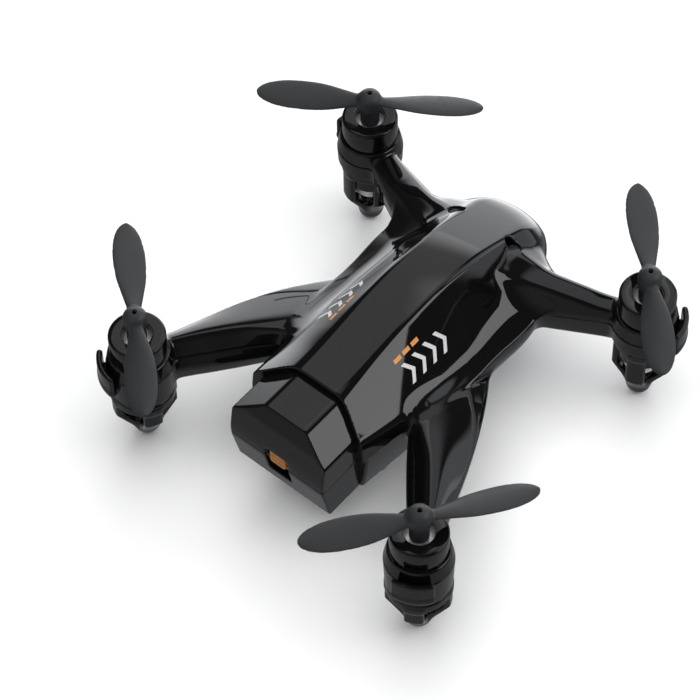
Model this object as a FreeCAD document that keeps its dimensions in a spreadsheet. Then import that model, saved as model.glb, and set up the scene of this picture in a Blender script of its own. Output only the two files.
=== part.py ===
import FreeCAD, Part
import math
import os

import Sketcher

from FreeCAD import Placement, Rotation, Vector

# Mini palm drone, millimetres. +Z is up, +Y is the nose, -Y the rear module with the power
# switch, +X the right-hand side. The origin is on the floor, in the middle of the four feet.

SIZES = {
    # airframe
    "motor_span": 58.0,
    "split_height": 19.2,
    "wall": 0.9,
    "strip_half_width": 4.6,
    "belly_height": 9.4,
    # arms
    "front_arm_angle": 22.0,
    "rear_arm_angle": -60.0,
    "front_arm_half_width": 2.6,
    "rear_arm_half_width": 3.2,
    "front_root_half_width": 4.7,
    "rear_root_half_width": 7.4,
    "arm_rise": 2.1,
    "arm_root_rise": 3.6,
    "arm_drop": 5.2,
    "front_arm_length": 22.0,
    "rear_arm_length": 44.0,
    # motor pods
    "collar_bottom": 12.8,
    "collar_top": 22.0,
    "collar_bottom_radius": 5.4,
    "collar_split_radius": 5.6,
    "collar_top_radius": 5.0,
    "sleeve_radius": 3.9,
    "sleeve_bore_radius": 3.05,
    "sleeve_top": 23.6,
    "collar_bore_radius": 3.98,
    "cage_ring_bottom": 10.6,
    "cage_ring_radius": 5.35,
    "cage_column_width": 3.2,
    "cage_column_thickness": 1.25,
    "cage_knee_height": 7.6,
    "foot_radius": 2.1,
    "foot_height": 4.6,
    "foot_flat_radius": 1.2,
    # clips for a propeller guard
    "clip_angle": 64.0,
    "clip_radius": 7.0,
    "clip_slot_radius": 6.0,
    "clip_floor_bottom": 15.9,
    "clip_floor_top": 17.1,
    "clip_top": 20.8,
    # motor caps
    "cap_bottom": 22.1,
    "cap_top": 26.5,
    "cap_radius": 4.7,
    "cap_bore_radius": 3.96,
    "cap_roof": 1.0,
    "cap_hole_radius": 2.5,
    "cap_edge": 0.35,
    # motors
    "can_radius": 3.0,
    "can_bottom": 9.0,
    "can_length": 15.4,
    "can_boss_radius": 1.1,
    "can_boss_height": 0.5,
    "can_bore_radius": 0.45,
    "bell_radius": 2.9,
    "shaft_radius": 0.4,
    "shaft_bottom": 12.0,
    "shaft_top": 32.1,
    # propellers
    "rotor_diameter": 38.0,
    "hub_top": 32.5,
    "hub_shoulder": 28.9,
    "hub_radius": 2.0,
    "hub_dome_radius": 1.3,
    "skirt_radius": 1.65,
    "skirt_bottom": 25.2,
    "hub_bore_radius": 0.41,
    "blade_height": 30.3,
    # rear module
    "module_front": -19.6,
    "tray_front": -20.25,
    "module_rear": -29.3,
    "module_brow": -26.6,
    "module_crease": -28.4,
    "module_crease_height": 24.0,
    "module_face_height": 19.0,
    "module_half_width": 9.6,
    "module_split": 17.6,
    "module_top": 26.8,
    "module_facet_half_width": 4.1,
    "module_slope_height": 23.4,
    "module_undercut": 1.8,
    "switch_slot_width": 4.8,
    "switch_slot_bottom": 12.8,
    "switch_slot_top": 19.4,
    # power switch
    "knob_width": 3.4,
    "knob_height": 3.0,
    "knob_depth": 1.1,
    "knob_front": -28.9,
    "knob_centre_height": 17.7,
    "knob_travel": 2.0,
    "knob_stem": 1.4,
    "switch_half_width": 4.0,
    "switch_bottom": 14.2,
    "switch_top": 20.6,
    "switch_front": -27.45,
    "switch_depth": 3.0,
    # board and battery
    "board_bottom": 18.4,
    "board_thickness": 0.8,
    "board_half_width": 8.2,
    "board_rear": -22.5,
    "board_front": 25.0,
    "battery_bottom": 10.95,
    "battery_thickness": 5.2,
    "battery_half_width": 7.0,
    "battery_rear": -17.0,
    "battery_front": 6.0,
    # fasteners and leads
    "screw_radius": 0.7,
    "screw_hole_radius": 0.72,
    "screw_head_radius": 1.3,
    "screw_head_height": 0.7,
    "screw_length": 9.6,
    "boss_radius": 1.6,
    "screw_x": 8.9,
    "rear_screw_y": -15.0,
    "front_screw_y": 15.0,
    "channel_half_width": 1.6,
    "channel_bottom": 15.4,
    "bell_bottom": 8.2,
    "groove_half_width": 0.9,
    "groove_height": 9.6,
    "eye_radius": 1.3,
    "eye_x": 6.0,
    "eye_y": 23.3,
    "lead_run_front": 23.6,
    "lead_run_rear": 43.0,
    "socket_length": 4.2,
    "socket_width": 2.8,
    "socket_x": -5.0,
    "socket_y": -22.9,
    "lead_radius": 0.3,
    "lead_height": 16.2,
    "lead_drop": 0.85,
}

# Canopy cross-sections along the length: y, top height, shoulder half width, shoulder height.
CANOPY = [
    (-20.2, 28.2, 11.2, 24.2),
    (-11.0, 29.1, 12.4, 21.6),
    (0.0, 30.3, 12.2, 20.8),
    (6.0, 30.4, 11.9, 20.6),
    (15.0, 29.0, 11.9, 20.6),
    (21.4, 27.4, 10.7, 21.3),
    (27.0, 24.9, 8.8, 21.2),
    (32.2, 22.0, 6.6, 20.5),
]
# Belly cross-sections: y, half width at the case split, half width of the flat bottom.
BELLY = [
    (-20.2, 11.2, 10.4),
    (-11.0, 12.4, 10.8),
    (5.0, 15.2, 10.2),
    (20.0, 15.2, 8.6),
    (32.2, 6.6, 5.0),
]
# Blade sections: share of the radius, chord, thickness, pitch in degrees, rise.
BLADE = [
    (0.07, 2.1, 1.15, 20.0, 0.0),
    (0.22, 3.3, 0.95, 17.0, 0.05),
    (0.42, 4.9, 0.80, 14.0, 0.15),
    (0.62, 5.3, 0.70, 12.0, 0.25),
    (0.80, 4.7, 0.60, 10.0, 0.32),
    (0.93, 3.1, 0.50, 9.0, 0.38),
    (1.00, 0.9, 0.35, 8.0, 0.40),
]
# Each corner: name, side of the body, end of the body, spin sense of its propeller, blade heading.
CORNERS = [
    ("front_left", -1, 1, -1, 33.5),
    ("front_right", 1, 1, 1, 132.8),
    ("rear_right", 1, -1, -1, 54.2),
    ("rear_left", -1, -1, 1, 136.8),
]

doc = FreeCAD.newDocument("palm_drone")
sheet = doc.addObject("Spreadsheet::Sheet", "sizes")
for row, (alias, number) in enumerate(SIZES.items(), start=1):
    sheet.set("A%d" % row, alias)
    sheet.set("B%d" % row, str(number))
    sheet.setAlias("B%d" % row, alias)
doc.recompute()

subparts = []


def size(alias):
    return float(sheet.get(alias))


def bind(thing, **expressions):
    """Bind properties of a document object to expressions on the sheet."""
    for name, expression in expressions.items():
        thing.setExpression(name, expression)
    return thing


def place(thing, x=0.0, y=0.0, z=0.0, turn=0.0):
    thing.Placement = Placement(Vector(x, y, z), Rotation(Vector(0, 0, 1), turn))
    return thing


def keep(thing, label):
    """Mark a document object as a sub-part, named by its label."""
    thing.Label = label
    subparts.append(thing)
    return thing


def block(name, length, width, height, x, y, z):
    """A block with bound edge lengths, centred on x and y, with its bottom at z."""
    thing = bind(doc.addObject("Part::Box", name), Length=length, Width=width, Height=height)
    doc.recompute([thing])
    return place(thing, x - thing.Length.Value / 2, y - thing.Width.Value / 2, z)


def cylinder(name, radius, bottom, height, x=0.0, y=0.0):
    """An upright cylinder with a bound radius, bottom and height."""
    thing = bind(doc.addObject("Part::Cylinder", name), Radius=radius, Height=height)
    place(thing, x, y)
    thing.setExpression(".Placement.Base.z", bottom)
    return thing


def cone(name, bottom_radius, top_radius, bottom, height):
    thing = doc.addObject("Part::Cone", name)
    bind(thing, Radius1=bottom_radius, Radius2=top_radius, Height=height)
    thing.setExpression(".Placement.Base.z", bottom)
    return thing


def sector(name, radius, bottom, height):
    """A wedge of a cylinder, centred on the local +X side, as wide as a guard clip."""
    thing = cylinder(name, radius, bottom, height)
    bind(thing, Angle="sizes.clip_angle")
    thing.Placement.Rotation = Rotation(Vector(0, 0, 1), -size("clip_angle") / 2)
    return thing


def cut(name, base, tool):
    result = doc.addObject("Part::Cut", name)
    result.Base = base
    result.Tool = tool
    return result


def fuse(name, things):
    result = doc.addObject("Part::MultiFuse", name)
    result.Shapes = things
    return result


def group(name, things):
    """Separate solids of one kind, kept together as one object."""
    result = doc.addObject("Part::Compound", name)
    result.Links = things
    return result


def solid(name, shape):
    feature = doc.addObject("Part::Feature", name)
    feature.Shape = shape
    return feature


def polygon(points):
    return Part.makePolygon([Vector(*point) for point in points] + [Vector(*points[0])])


def ruled_loft(sections):
    return Part.makeLoft([polygon(section) for section in sections], True, True)


def corner_frame(side, end):
    """Where a motor stands, and which way its arm points outwards, in degrees."""
    half_span = size("motor_span") / 2
    lean = size("front_arm_angle") if end > 0 else size("rear_arm_angle")
    turn = lean if side > 0 else 180.0 - lean
    return side * half_span, end * half_span, turn


def arm_length(end):
    return size("front_arm_length") if end > 0 else size("rear_arm_length")


def side_name(side):
    return "right" if side > 0 else "left"


def origin_plane(body, role):
    return next(plane for plane in body.Origin.OriginFeatures if plane.Role == role)


def profile_sketch(body, name, role, corners):
    """A closed outline on an origin plane, each corner dimensioned by two expressions."""
    sketch = body.newObject("Sketcher::SketchObject", name)
    sketch.AttachmentSupport = (origin_plane(body, role), "")
    sketch.MapMode = "FlatFace"
    count = len(corners)
    spots = [Vector(*corner[:2], 0) for corner in corners]
    for index in range(count):
        sketch.addGeometry(Part.LineSegment(spots[index], spots[(index + 1) % count]), False)
    for index in range(count):
        sketch.addConstraint(Sketcher.Constraint("Coincident", index, 2, (index + 1) % count, 1))
    for index, (across, up, across_size, up_size) in enumerate(corners):
        for kind, value, expression in (("DistanceX", across, across_size), ("DistanceY", up, up_size)):
            number = sketch.addConstraint(Sketcher.Constraint(kind, index, 1, value))
            if expression:
                sketch.setExpression("Constraints[%d]" % number, expression)
    return sketch


def turned(name, corners):
    """A body of revolution about the vertical axis. corners are (radius, height) names."""
    body = doc.addObject("PartDesign::Body", name)
    outline = []
    for radius, height in corners:
        outline.append((measure(radius), measure(height), bound(radius), bound(height)))
    sketch = profile_sketch(body, name + "_outline", "XZ_Plane", outline)
    turn = body.newObject("PartDesign::Revolution", name + "_turn")
    turn.Profile = sketch
    turn.ReferenceAxis = (sketch, ["V_Axis"])
    turn.Angle = 360.0
    return body


def measure(entry):
    """The number behind an outline entry: a plain number, or a sum of named sizes."""
    if isinstance(entry, (int, float)):
        return float(entry)
    total = 0.0
    for term in entry.replace("-", "+-").split("+"):
        term = term.strip()
        if term:
            sign = -1.0 if term.startswith("-") else 1.0
            total += sign * size(term.lstrip("- "))
    return total


def bound(entry):
    """The sheet expression of an outline entry, or None for a plain number."""
    if isinstance(entry, (int, float)):
        return None
    words = entry.replace("+", " + ").replace("-", " - ").split()
    return " ".join(word if word in "+-" else "sizes." + word for word in words)


# ---------------------------------------------------------------- shells

def canopy_sections(inset, rear_run, drop):
    """Closed outlines across the canopy, shrunk inwards by a wall thickness."""
    sections = []
    for index, (y, top, half, shoulder) in enumerate(CANOPY):
        if index == 0:
            y -= rear_run
        if index == len(CANOPY) - 1:
            y -= inset
        strip = size("strip_half_width") - inset * 0.4
        low = size("split_height") - drop
        top, shoulder, half = top - inset, shoulder - inset * 0.6, half - inset
        sections.append([
            (-half, y, low), (-half, y, shoulder), (-strip, y, top),
            (strip, y, top), (half, y, shoulder), (half, y, low),
        ])
    return sections


def belly_sections(inset, rear_run, rise):
    """Closed outlines across the belly, shrunk inwards by a wall thickness."""
    sections = []
    low = size("belly_height") + inset
    split = size("split_height")
    for index, (y, half, floor_half) in enumerate(BELLY):
        if index == 0:
            y -= rear_run
        if index == len(BELLY) - 1:
            y -= inset
        half, floor_half = half - inset, floor_half - inset * 0.5
        waist = low + (split - low) * 0.62
        sections.append([
            (-floor_half, y, low), (floor_half, y, low), (half, y, waist),
            (half, y, split + rise), (-half, y, split + rise), (-half, y, waist),
        ])
    return sections


def half_round(x, half_width, rise):
    """A D-shaped outline across an arm: flat on the case split, rounded away from it."""
    base = size("split_height")
    shoulder, knee, top = base + 0.3 * rise, base + 0.82 * rise, base + rise
    inner, bulge = 0.5 * half_width, 0.88 * half_width
    corners = [
        Vector(x, -half_width, base), Vector(x, -half_width, shoulder), Vector(x, -inner, top),
        Vector(x, inner, top), Vector(x, half_width, shoulder), Vector(x, half_width, base),
    ]
    curves = [
        Part.LineSegment(corners[0], corners[1]),
        Part.Arc(corners[1], Vector(x, -bulge, knee), corners[2]),
        Part.LineSegment(corners[2], corners[3]),
        Part.Arc(corners[3], Vector(x, bulge, knee), corners[4]),
        Part.LineSegment(corners[4], corners[5]),
        Part.LineSegment(corners[5], corners[0]),
    ]
    return Part.Wire([curve.toShape() for curve in curves])


def half_arm(name, side, end, rise, root_rise):
    """One half of an arm, lofted from the motor axis towards the body."""
    x, y, turn = corner_frame(side, end)
    prefix = "front" if end > 0 else "rear"
    wires = [
        half_round(0.0, size(prefix + "_arm_half_width"), rise),
        half_round(-arm_length(end), size(prefix + "_root_half_width"), root_rise),
    ]
    return place(solid(name, Part.makeLoft(wires, True, True)), x, y, 0.0, turn)


def lead_channel(name, side, end):
    """The hollow along an arm that the motor's leads run in."""
    x, y, turn = corner_frame(side, end)
    channel = doc.addObject("Part::Box", name)
    bind(channel, Length="sizes.front_arm_length" if end > 0 else "sizes.rear_arm_length",
         Width="2 * sizes.channel_half_width", Height="sizes.split_height - sizes.channel_bottom")
    inward = Rotation(Vector(0, 0, 1), turn + 180.0)
    start = inward.multVec(Vector(0, -size("channel_half_width"), 0))
    channel.Placement = Placement(Vector(x, y, size("channel_bottom")) + start, inward)
    return channel


def collar(name, side, end, split_side, far_side, bottom, height):
    """The tapered ring that a shell ends in around a motor."""
    x, y, _ = corner_frame(side, end)
    ring = cone(name, split_side, far_side, bottom, height)
    ring.Placement.Base.x = x
    ring.Placement.Base.y = y
    return ring


def screw_spots():
    for side in (-1, 1):
        for station in ("rear_screw_y", "front_screw_y"):
            yield side * size("screw_x"), size(station)


def upper_shell():
    """The canopy, with the upper halves of the arms and of the motor collars."""
    outer = [solid("canopy_outer", ruled_loft(canopy_sections(0.0, 0.0, 0.0)))]
    hollow = [solid("canopy_hollow", ruled_loft(canopy_sections(size("wall"), 1.0, 1.0)))]
    for name, side, end, _, _ in CORNERS:
        x, y, _ = corner_frame(side, end)
        outer.append(half_arm(
            "upper_arm_" + name, side, end, size("arm_rise"), size("arm_root_rise")))
        outer.append(collar(
            "upper_collar_" + name, side, end, "sizes.collar_split_radius",
            "sizes.collar_top_radius", "sizes.split_height",
            "sizes.collar_top - sizes.split_height"))
        hollow.append(cylinder(
            "upper_bore_" + name, "sizes.collar_bore_radius", "0", "sizes.cap_top", x, y))
    for side in (-1, 1):
        hollow.append(cylinder(
            "eye_well_" + side_name(side), "sizes.eye_radius", "sizes.cap_bottom",
            "sizes.cap_top", side * size("eye_x"), size("eye_y")))
    shell = cut("upper_shell_hollowed", fuse("upper_skin", outer), fuse("upper_hollow", hollow))
    bosses = []
    for number, (x, y) in enumerate(screw_spots()):
        rod = cylinder(
            "boss_%d" % number, "sizes.boss_radius", "sizes.split_height", "9", x, y)
        boss = doc.addObject("Part::MultiCommon", "boss_under_roof_%d" % number)
        boss.Shapes = [rod, outer[0]]
        hole = cylinder(
            "boss_hole_%d" % number, "sizes.screw_hole_radius", "sizes.split_height - 1",
            "4", x, y)
        bosses.append(cut("drilled_boss_%d" % number, boss, hole))
    return keep(fuse("upper_shell_bossed", [shell] + bosses), "upper_shell")


def lower_shell():
    """The belly, with the lower halves of the arms and collars and the guard clips."""
    outer = [solid("belly_outer", ruled_loft(belly_sections(0.0, 0.0, 0.0)))]
    hollow = [solid("belly_hollow", ruled_loft(belly_sections(size("wall"), 1.0, 1.0)))]
    for name, side, end, _, _ in CORNERS:
        x, y, turn = corner_frame(side, end)
        outer.append(half_arm(
            "lower_arm_" + name, side, end, -size("arm_drop"), -size("arm_drop")))
        outer.append(collar(
            "lower_collar_" + name, side, end, "sizes.collar_bottom_radius",
            "sizes.collar_split_radius", "sizes.collar_bottom",
            "sizes.split_height - sizes.collar_bottom"))
        hollow.append(lead_channel("lower_channel_" + name, side, end))
        hollow.append(cylinder(
            "lower_bore_" + name, "sizes.collar_bore_radius", "0", "sizes.cap_top", x, y))
        hook = sector(
            "hook_" + name, "sizes.clip_radius", "sizes.clip_floor_bottom",
            "sizes.clip_top - sizes.clip_floor_bottom")
        slot = sector(
            "slot_" + name, "sizes.clip_slot_radius", "sizes.clip_floor_top", "sizes.cap_top")
        clip = cut("clip_" + name, hook, slot)
        outer.append(place(clip, x, y, 0.0, turn))
    stand_offs = []
    for number, (x, y) in enumerate(screw_spots()):
        hole = cylinder(
            "screw_hole_%d" % number, "sizes.screw_hole_radius", "0", "sizes.cap_top", x, y)
        sink = cylinder(
            "screw_sink_%d" % number, "sizes.screw_head_radius + 0.1", "0",
            "sizes.belly_height + sizes.screw_head_height + 0.1", x, y)
        post = cylinder(
            "post_%d" % number, "sizes.boss_radius + 0.3", "sizes.belly_height",
            "sizes.split_height - sizes.belly_height", x, y)
        drill = fuse("drill_%d" % number, [hole, sink])
        stand_offs.append(cut("drilled_post_%d" % number, post, drill))
        hollow.append(cylinder(
            "post_room_%d" % number, "sizes.boss_radius", "0", "sizes.split_height", x, y))
    shell = cut("lower_shell_hollowed", fuse("lower_skin", outer), fuse("lower_hollow", hollow))
    shelves = [
        block("rear_shelf", "13", "1.2", "sizes.board_bottom - sizes.belly_height - 0.3",
              0.0, -18.6, size("belly_height") + 0.3),
        block("front_shelf", "9", "1.2", "sizes.board_bottom - sizes.belly_height - 0.3",
              0.0, 22.0, size("belly_height") + 0.3),
    ]
    return keep(fuse("lower_shell_furnished", [shell] + stand_offs + shelves), "lower_shell")


def rear_module():
    """The faceted box behind the canopy, as an upper and a lower cover."""
    front, rear, wall = size("module_front"), size("module_rear"), size("wall")
    half, strip = size("module_half_width"), size("module_facet_half_width")
    split, slope, top = size("module_split"), size("module_slope_height"), size("module_top")
    low, face = size("belly_height"), size("module_face_height")
    crease, crease_height = size("module_crease"), size("module_crease_height")

    def cover_outline(y, inset, drop):
        side, facet = half - inset, strip - inset * 0.4
        return [
            (-side, y, split - drop), (-side, y, slope - inset * 0.6), (-facet, y, top - inset),
            (facet, y, top - inset), (side, y, slope - inset * 0.6), (side, y, split - drop),
        ]

    def tray_outline(z, inset, mouth):
        side = half - inset
        return [(-side, rear, z), (side, rear, z), (side, mouth, z), (-side, mouth, z)]

    def end_slab(inset):
        """A slab with the module's outline as seen from the side: a brow, a face, an undercut."""
        outline = [
            (front + 2, low), (front + 2, top), (size("module_brow") + inset, top),
            (crease + inset, crease_height), (rear + inset, face), (rear + inset, split),
            (rear + size("module_undercut") + inset, low),
        ]
        side_view = polygon([(-half - 1, y, z) for y, z in outline])
        return Part.Face(side_view).extrude(Vector(2 * half + 2, 0, 0))

    def faced(name, sections, inset):
        return solid(name, ruled_loft(sections).common(end_slab(inset)))

    tray_front = size("tray_front")
    upper = faced("module_upper", [cover_outline(front, 0, 0), cover_outline(rear, 0, 0)], 0)
    upper_room = faced("module_upper_room", [
        cover_outline(front + 1, wall, 1), cover_outline(rear, wall, 1)], wall)
    lower = faced("module_lower", [
        tray_outline(low, 0, tray_front), tray_outline(split, 0, tray_front)], 0)
    lower_room = faced("module_lower_room", [
        tray_outline(low + wall, wall, tray_front + 1),
        tray_outline(split + 1, wall, tray_front + 1)], wall)
    mouth_height = "sizes.switch_slot_top - sizes.switch_slot_bottom"
    mouths = [
        block("switch_mouth_" + cover, "sizes.switch_slot_width", "4", mouth_height,
              0.0, rear, size("switch_slot_bottom"))
        for cover in ("upper", "lower")
    ]
    socket_mouth = block(
        "socket_mouth", "sizes.socket_length + 0.4", "sizes.socket_width + 0.4", "4",
        size("socket_x"), size("socket_y"), low - 1)
    upper_hollow = fuse("module_upper_hollow", [upper_room, mouths[0]])
    lower_hollow = fuse("module_lower_hollow", [lower_room, mouths[1], socket_mouth])
    keep(cut("module_cover", upper, upper_hollow), "rear_module_cover")
    keep(cut("module_tray", lower, lower_hollow), "rear_module_tray")


# ---------------------------------------------------------------- motor pods

def motor_cap(name, x, y):
    """The turned cap that holds a motor down, with a hole for the propeller's skirt."""
    cap = turned("cap_" + name, [
        ("cap_bore_radius", "cap_bottom"),
        ("cap_radius", "cap_bottom"),
        ("cap_radius", "cap_top - cap_edge"),
        ("cap_radius - cap_edge", "cap_top"),
        ("cap_hole_radius", "cap_top"),
        ("cap_hole_radius", "cap_top - cap_roof"),
        ("cap_bore_radius", "cap_top - cap_roof"),
    ])
    return keep(place(cap, x, y), "motor_cap_" + name)


def motor_pod(name, x, y, turn):
    """The sleeve around a motor, with the four-legged cage and foot under it."""
    ring = cylinder(
        "cage_ring_" + name, "sizes.cage_ring_radius", "sizes.cage_ring_bottom",
        "sizes.collar_bottom - sizes.cage_ring_bottom - 0.05")
    sleeve = cylinder(
        "sleeve_" + name, "sizes.sleeve_radius", "sizes.cage_ring_bottom",
        "sizes.sleeve_top - sizes.cage_ring_bottom")
    outer, thickness = size("cage_ring_radius"), size("cage_column_thickness")
    knee, top, foot = size("cage_knee_height"), size("cage_ring_bottom") + 0.5, size("foot_height")
    half = size("cage_column_width") / 2
    inner = outer - thickness
    leg_outline = [
        (inner, -half, top), (inner, -half, knee), (0.0, -half, foot * 0.75), (0.0, -half, 1.2),
        (1.6, -half, 1.2), (outer, -half, knee - 0.6), (outer, -half, top),
    ]
    leg = Part.Face(polygon(leg_outline)).extrude(Vector(0, 2 * half, 0))
    legs = []
    for quarter in range(4):
        legs.append(place(solid("leg_%s_%d" % (name, quarter), leg), turn=90.0 * quarter))
    # the legs are dressed to the round of the cage
    girdle = cone("girdle_" + name, "1.6", "sizes.cage_ring_radius", "1.2",
                  "sizes.cage_knee_height - 1.8")
    barrel = cylinder(
        "barrel_" + name, "sizes.cage_ring_radius", "sizes.cage_knee_height - 0.6", "6")
    dressed = doc.addObject("Part::MultiCommon", "dressed_legs_" + name)
    dressed.Shapes = [fuse("legs_" + name, legs), fuse("round_" + name, [girdle, barrel])]
    toe = turned("toe_" + name, [
        (0.0, 0.0), ("foot_flat_radius", 0.0), ("foot_radius", "foot_flat_radius"),
        ("foot_radius", "foot_height"), (0.0, "foot_height"),
    ])
    body = fuse("pod_body_" + name, [ring, sleeve, dressed, toe])
    bore = cylinder("pod_bore_" + name, "sizes.sleeve_bore_radius", "sizes.bell_bottom - 0.4", "30")
    groove = block(
        "lead_groove_" + name, "1.6", "2 * sizes.groove_half_width", "sizes.groove_height",
        -size("sleeve_radius") + 0.15, 0.0, size("bell_bottom") - 0.4)
    pod = cut("pod_" + name, body, fuse("pod_hollow_" + name, [bore, groove]))
    return keep(place(pod, x, y, 0.0, turn), "motor_pod_" + name)


def motor(name, x, y, turn):
    """A coreless motor: steel can, end bell, and the shaft that turns with its propeller."""
    can = turned("can_" + name, [
        ("can_bore_radius", "can_bottom"),
        ("can_radius", "can_bottom"),
        ("can_radius", "can_bottom + can_length"),
        ("can_boss_radius", "can_bottom + can_length"),
        ("can_boss_radius", "can_bottom + can_length + can_boss_height"),
        ("can_bore_radius", "can_bottom + can_length + can_boss_height"),
    ])
    keep(place(can, x, y), "motor_can_" + name)
    bell = cylinder("bell_" + name, "sizes.bell_radius", "sizes.bell_bottom",
                    "sizes.can_bottom - sizes.bell_bottom", x, y)
    keep(bell, "motor_end_bell_" + name)
    shaft = cylinder("shaft_" + name, "sizes.shaft_radius", "sizes.shaft_bottom",
                     "sizes.shaft_top - sizes.shaft_bottom", x, y)
    keep(shaft, "motor_shaft_" + name)


def leaf_section(radius, chord, thickness, pitch, rise, sense):
    """A thin lens across a blade, pitched so that its leading edge is the higher one."""
    tilt = Rotation(Vector(1, 0, 0), sense * pitch)
    half = chord / 2
    edge = 0.12

    def spot(along, up):
        return tilt.multVec(Vector(0, along, up)) + Vector(radius, 0, size("blade_height") + rise)

    upper = Part.Arc(spot(-half, edge), spot(0, thickness * 0.65), spot(half, edge))
    lower = Part.Arc(spot(half, -edge), spot(0, -thickness * 0.35), spot(-half, -edge))
    ends = [
        Part.LineSegment(spot(half, edge), spot(half, -edge)),
        Part.LineSegment(spot(-half, -edge), spot(-half, edge)),
    ]
    return Part.Wire([upper.toShape(), ends[0].toShape(), lower.toShape(), ends[1].toShape()])


def propeller(name, x, y, sense, heading):
    """Two pitched leaf-shaped blades on a domed hub with a long skirt."""
    reach = size("rotor_diameter") / 2
    hub = turned("hub_" + name, [
        ("hub_bore_radius", "skirt_bottom"), ("skirt_radius", "skirt_bottom"),
        ("skirt_radius", "hub_shoulder"), ("hub_radius", "hub_shoulder + hub_bore_radius"),
        ("hub_radius", "hub_top - hub_dome_radius"),
        ("hub_dome_radius", "hub_top - hub_bore_radius"),
        ("hub_bore_radius + hub_bore_radius", "hub_top"), ("hub_bore_radius", "hub_top"),
    ])
    sections = [
        leaf_section(share * reach, chord, thickness, pitch, rise, sense)
        for share, chord, thickness, pitch, rise in BLADE
    ]
    leaf = Part.makeLoft(sections, True, False)
    blades = [
        place(solid("blade_%s_%d" % (name, half_turn), leaf), turn=180.0 * half_turn)
        for half_turn in (0, 1)
    ]
    bore = cylinder("hub_hole_" + name, "sizes.hub_bore_radius", "sizes.skirt_bottom - 1", "10")
    rotor = cut("rotor_" + name, fuse("rotor_body_" + name, [hub] + blades), bore)
    return keep(place(rotor, x, y, 0.0, heading), "propeller_" + name)


def bent_lead(points, bend, radius):
    """A round lead along straight runs joined by tangent arcs."""
    spots = [Vector(*point) for point in points]
    edges = []
    last = spots[0]
    for before, corner, after in zip(spots, spots[1:], spots[2:]):
        arrive = (corner - before).normalize()
        leave = (after - corner).normalize()
        turn = arrive.getAngle(leave)
        setback = bend * math.tan(turn / 2)
        start, end = corner - arrive * setback, corner + leave * setback
        toward = (leave - arrive).normalize()
        centre = corner + toward * (bend / math.cos(turn / 2))
        middle = centre - toward * bend
        edges.append(Part.LineSegment(last, start).toShape())
        edges.append(Part.Arc(start, middle, end).toShape())
        last = end
    edges.append(Part.LineSegment(last, spots[-1]).toShape())
    path = Part.Wire(edges)
    first = (spots[1] - spots[0]).normalize()
    ring = Part.Wire([Part.Circle(spots[0], first, radius).toShape()])
    return path.makePipeShell([ring], True, False)


def motor_leads(name, side, end):
    """The two leads from an end bell up beside the sleeve and along the arm to the board."""
    x, y, turn = corner_frame(side, end)
    run = size("lead_run_front") if end > 0 else size("lead_run_rear")
    height = size("lead_height")
    dip = size("bell_bottom") - size("lead_drop")
    strands = []
    for number, aside in enumerate((-0.45, 0.45)):
        route = [
            (-1.4, aside, size("bell_bottom")), (-1.4, aside, dip),
            (-3.55, aside, dip), (-3.55, aside, height),
            (-run, aside, height), (-run, aside, size("board_bottom")),
        ]
        strand = solid("lead_%s_%d" % (name, number), bent_lead(route, 0.42, size("lead_radius")))
        strands.append(strand)
    return keep(place(group("leads_" + name, strands), x, y, 0.0, turn), "motor_leads_" + name)


# ---------------------------------------------------------------- electronics

def board():
    length = size("board_front") - size("board_rear")
    middle = (size("board_front") + size("board_rear")) / 2
    plate = block("board_plate", "2 * sizes.board_half_width",
                  "sizes.board_front - sizes.board_rear", "sizes.board_thickness",
                  0.0, middle, size("board_bottom"))
    nose_trims = []
    for side in (-1, 1):
        trim = block("board_trim_" + side_name(side), "4", "6", "3",
                     side * 8.9, middle + length / 2, size("board_bottom") - 1)
        nose_trims.append(trim)
    for side in (-1, 1):
        nose_trims.append(cylinder(
            "board_notch_" + side_name(side), "sizes.boss_radius + 0.45", "0", "30",
            side * size("screw_x"), size("rear_screw_y")))
        nose_trims.append(cylinder(
            "board_front_notch_" + side_name(side), "sizes.boss_radius + 0.45", "0", "30",
            side * size("screw_x"), size("front_screw_y")))
    keep(cut("board_cut", plate, fuse("board_trims", nose_trims)), "flight_board")


def board_parts():
    """What is soldered on the board: chips, crystal, drivers and the two eye lamps."""
    top = size("board_bottom") + size("board_thickness")
    keep(block("processor", "5", "5", "0.9", 0.0, -1.0, top), "processor_chip")
    keep(block("radio", "4", "4", "0.85", 0.5, 7.5, top), "radio_chip")
    keep(block("gyro", "3", "3", "0.9", -4.6, 3.0, top), "gyro_chip")
    keep(block("crystal_can", "3.2", "2.5", "0.8", 4.4, 11.4, top), "crystal")
    drivers = [
        block("driver_%d" % number, "2.9", "1.4", "1.1", side * 5.2, y, top)
        for number, (side, y) in enumerate((side, y) for side in (-1, 1) for y in (-9.0, 16.0))
    ]
    keep(group("drivers", drivers), "motor_drivers")
    lamps = [
        block("lamp_" + side_name(side), "2.0", "1.6", "0.8", side * size("eye_x"), 20.6, top)
        for side in (-1, 1)
    ]
    keep(group("lamps", lamps), "eye_lamps")
    lenses = []
    for side in (-1, 1):
        lens = cylinder("lens_" + side_name(side), "sizes.eye_radius - 0.05",
                        "sizes.cap_bottom - 1.9", "4.0", side * size("eye_x"), size("eye_y"))
        lenses.append(lens)
    keep(group("lenses", lenses), "eye_lenses")


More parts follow.
